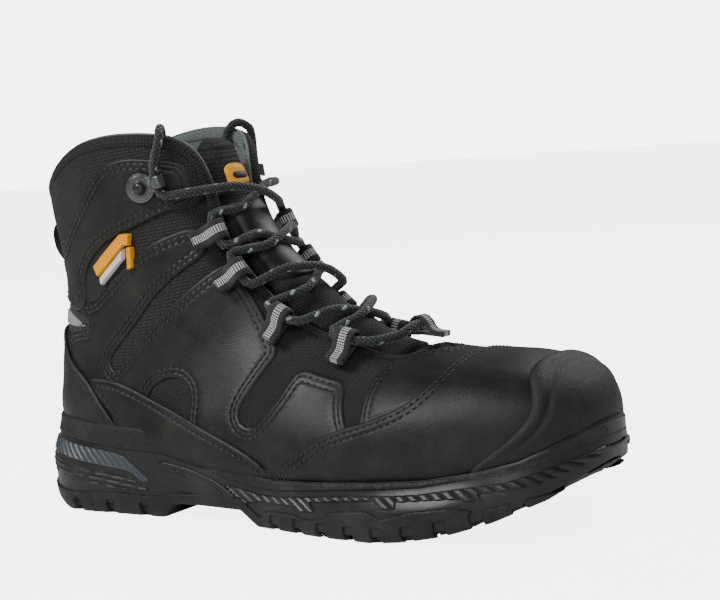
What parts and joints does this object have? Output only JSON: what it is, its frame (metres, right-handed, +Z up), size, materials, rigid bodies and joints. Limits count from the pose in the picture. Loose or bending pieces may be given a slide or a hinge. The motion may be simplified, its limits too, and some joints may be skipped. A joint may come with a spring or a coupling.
{
  "type": "steel toe work boot",
  "caption": "Right-foot laced safety boot with a steel toe cap, padded collar, webbing lace loops, speed hooks and a lugged cup sole.",
  "frame": {"origin": "on the ground, under the middle of the boot's bounding box", "axes": "+X towards the toe, +Y towards the inner (medial) side, +Z up"},
  "size_m": [0.3045, 0.1124, 0.1878],
  "materials": {
    "oiled_leather": "black oiled full-grain leather, soft satin",
    "ballistic_nylon": "coarse woven black nylon",
    "mesh_fabric": "black breathable mesh",
    "lining_fabric": "dark grey-green knitted spacer mesh",
    "padding_foam": "open-cell foam",
    "footbed_foam": "moulded foam with a knitted top cloth",
    "webbing": "ribbed black webbing with a pale reflective stripe",
    "lace_cord": "round braided black cord with pale flecks",
    "reflective_tape": "silver woven reflective tape",
    "badge_rubber": "moulded yellow and pale grey rubber",
    "sole_rubber": "matt black nitrile rubber",
    "midsole_foam": "dark polyurethane with a speckled texture",
    "bumper_rubber": "rough black toe rubber",
    "stabiliser_plastic": "blue-grey thermoplastic, satin",
    "steel": "formed sheet steel",
    "hook_steel": "gunmetal plated steel",
    "black_steel": "black lacquered steel",
    "insole_board": "cellulose fibre board",
    "black_plastic": "clear-coated black film"
  },
  "bodies": {
    "boot": {"outsole": "sole_rubber", "midsole": "midsole_foam", "heel_stabiliser": "stabiliser_plastic", "shank": "steel", "puncture_plate": "steel", "insole_board": "insole_board", "footbed": "footbed_foam", "steel_toe_cap": "steel", "cap_edge_strip": "padding_foam", "heel_counter_board": "insole_board", "textile_upper": "mesh_fabric", "padding": "padding_foam", "lining": "lining_fabric", "collar_cover": "ballistic_nylon", "ankle_panel_lateral": "oiled_leather", "ankle_panel_medial": "oiled_leather", "quarter_lateral": "oiled_leather", "quarter_medial": "oiled_leather", "mudguard_lateral": "oiled_leather", "mudguard_medial": "oiled_leather", "heel_counter_cover": "oiled_leather", "toe_vamp": "oiled_leather", "throat_piece": "oiled_leather", "backstay": "oiled_leather", "toe_bumper": "bumper_rubber", "reflective_strip_lateral": "reflective_tape", "reflective_strip_medial": "reflective_tape", "badge_lateral": "badge_rubber", "badge_medial": "badge_rubber", "lace_loop_lateral_1": "webbing", "lace_loop_lateral_2": "webbing", "lace_loop_lateral_3": "webbing", "lace_loop_lateral_4": "webbing", "lace_loop_medial_1": "webbing", "lace_loop_medial_2": "webbing", "lace_loop_medial_3": "webbing", "lace_loop_medial_4": "webbing", "lace_loop_centre": "webbing", "lace_hook_lateral": "hook_steel", "lace_hook_medial": "hook_steel", "hook_rivet_lateral": "black_steel", "hook_rivet_medial": "black_steel", "hook_washer_lateral": "hook_steel", "hook_washer_medial": "hook_steel", "lace": "lace_cord", "lace_tip_lateral": "black_plastic", "lace_tip_medial": "black_plastic"},
    "tongue": {"tongue": "ballistic_nylon", "tongue_patch": "oiled_leather", "tongue_badge": "badge_rubber", "tongue_lining": "lining_fabric"},
    "pull_loop": {"pull_loop": "webbing"}
  },
  "joints": [
    {"name": "tongue_fold", "type": "hinge", "parent": "boot", "child": "tongue", "pos_m": [0.074, 0, 0.074], "axis": [0, -1, 0], "range_deg": [0, 5], "stiffness_Nm_per_rad": 1.2},
    {"name": "pull_loop_flop", "type": "hinge", "parent": "boot", "child": "pull_loop", "pos_m": [-0.1432, 0, 0.121], "axis": [0, -1, 0], "range_deg": [0, 60], "stiffness_Nm_per_rad": 0.01}
  ]
}
